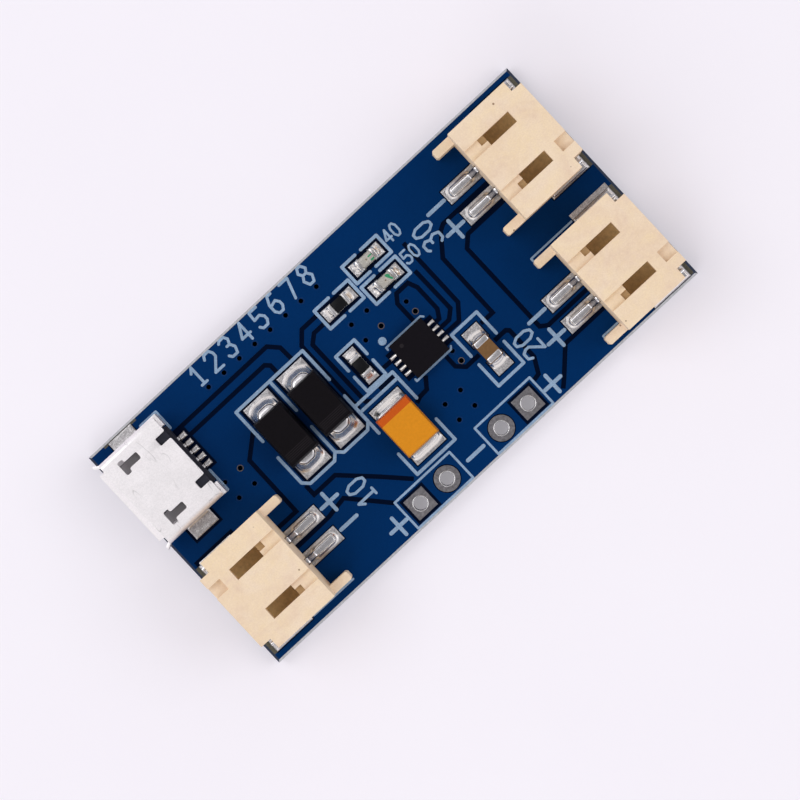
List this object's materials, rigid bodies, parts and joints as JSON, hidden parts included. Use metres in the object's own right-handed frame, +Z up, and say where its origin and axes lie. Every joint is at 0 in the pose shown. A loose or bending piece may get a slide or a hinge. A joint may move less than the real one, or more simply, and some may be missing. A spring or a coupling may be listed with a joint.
{
  "type": "lithium battery charger module",
  "caption": "Small blue battery-charging board with cream side-entry lead sockets, a metal-shelled power port, power diodes, chip parts and plated header holes.",
  "frame": {"origin": "centre of the circuit board's underside, which is what the module rests on", "axes": "+X along the board towards the end with two lead sockets, +Y towards the long edge beside the power port, +Z up through the parts"},
  "size_m": [0.0401, 0.0196, 0.0071],
  "materials": {
    "solder_mask": "glossy solder mask over glass-fibre laminate",
    "tinned_copper": "tin-levelled copper",
    "bare_copper": "plated copper",
    "socket_nylon": "natural moulded nylon",
    "pin_tin": "tin-plated brass",
    "lead_tin": "tin-plated strip",
    "solder": "bright reflowed solder",
    "shell_steel": "nickel-plated formed sheet",
    "port_plastic": "heat-proof moulding",
    "contact_gilt": "gold-flashed contacts",
    "black_moulding": "black epoxy moulding",
    "orange_moulding": "orange epoxy moulding",
    "brown_ceramic": "sintered ceramic",
    "white_ceramic": "fired alumina",
    "dark_glaze": "black glaze",
    "lamp_base": "white laminate",
    "clear_resin": "clear resin",
    "lamp_chip": "semiconductor chip"
  },
  "bodies": {
    "root": {"circuit_board": "solder_mask", "solar_header_pads": "tinned_copper", "battery_header_pads": "tinned_copper", "via_barrels": "bare_copper", "solar_socket_housing": "socket_nylon", "solar_socket_positive_pin": "pin_tin", "solar_socket_negative_pin": "pin_tin", "solar_socket_mounting_tabs": "pin_tin", "solar_socket_solder_joints": "solder", "battery_socket_housing": "socket_nylon", "battery_socket_positive_pin": "pin_tin", "battery_socket_negative_pin": "pin_tin", "battery_socket_mounting_tabs": "pin_tin", "battery_socket_solder_joints": "solder", "output_socket_housing": "socket_nylon", "output_socket_positive_pin": "pin_tin", "output_socket_negative_pin": "pin_tin", "output_socket_mounting_tabs": "pin_tin", "output_socket_solder_joints": "solder", "power_port_shell": "shell_steel", "power_port_insert": "port_plastic", "power_port_contacts": "contact_gilt", "power_port_solder_joints": "solder", "solar_diode_case": "black_moulding", "solar_diode_anode_lead": "lead_tin", "solar_diode_cathode_lead": "lead_tin", "solar_diode_solder_joints": "solder", "port_diode_case": "black_moulding", "port_diode_anode_lead": "lead_tin", "port_diode_cathode_lead": "lead_tin", "port_diode_solder_joints": "solder", "tantalum_capacitor_case": "orange_moulding", "tantalum_capacitor_anode_lead": "lead_tin", "tantalum_capacitor_cathode_lead": "lead_tin", "tantalum_capacitor_solder_joints": "solder", "ceramic_capacitor_block": "brown_ceramic", "ceramic_capacitor_end_caps": "lead_tin", "ceramic_capacitor_solder_joints": "solder", "current_resistor_substrate": "white_ceramic", "current_resistor_coat": "dark_glaze", "current_resistor_end_caps": "lead_tin", "current_resistor_solder_joints": "solder", "lamp_resistor_substrate": "white_ceramic", "lamp_resistor_coat": "dark_glaze", "lamp_resistor_end_caps": "lead_tin", "lamp_resistor_solder_joints": "solder", "ready_lamp_base": "lamp_base", "ready_lamp_terminals": "contact_gilt", "ready_lamp_lens": "clear_resin", "ready_lamp_chip": "lamp_chip", "ready_lamp_solder_joints": "solder", "charging_lamp_base": "lamp_base", "charging_lamp_terminals": "contact_gilt", "charging_lamp_lens": "clear_resin", "charging_lamp_chip": "lamp_chip", "charging_lamp_solder_joints": "solder", "controller_package": "black_moulding", "controller_leads": "lead_tin", "controller_solder_joints": "solder"}
  },
  "joints": []
}
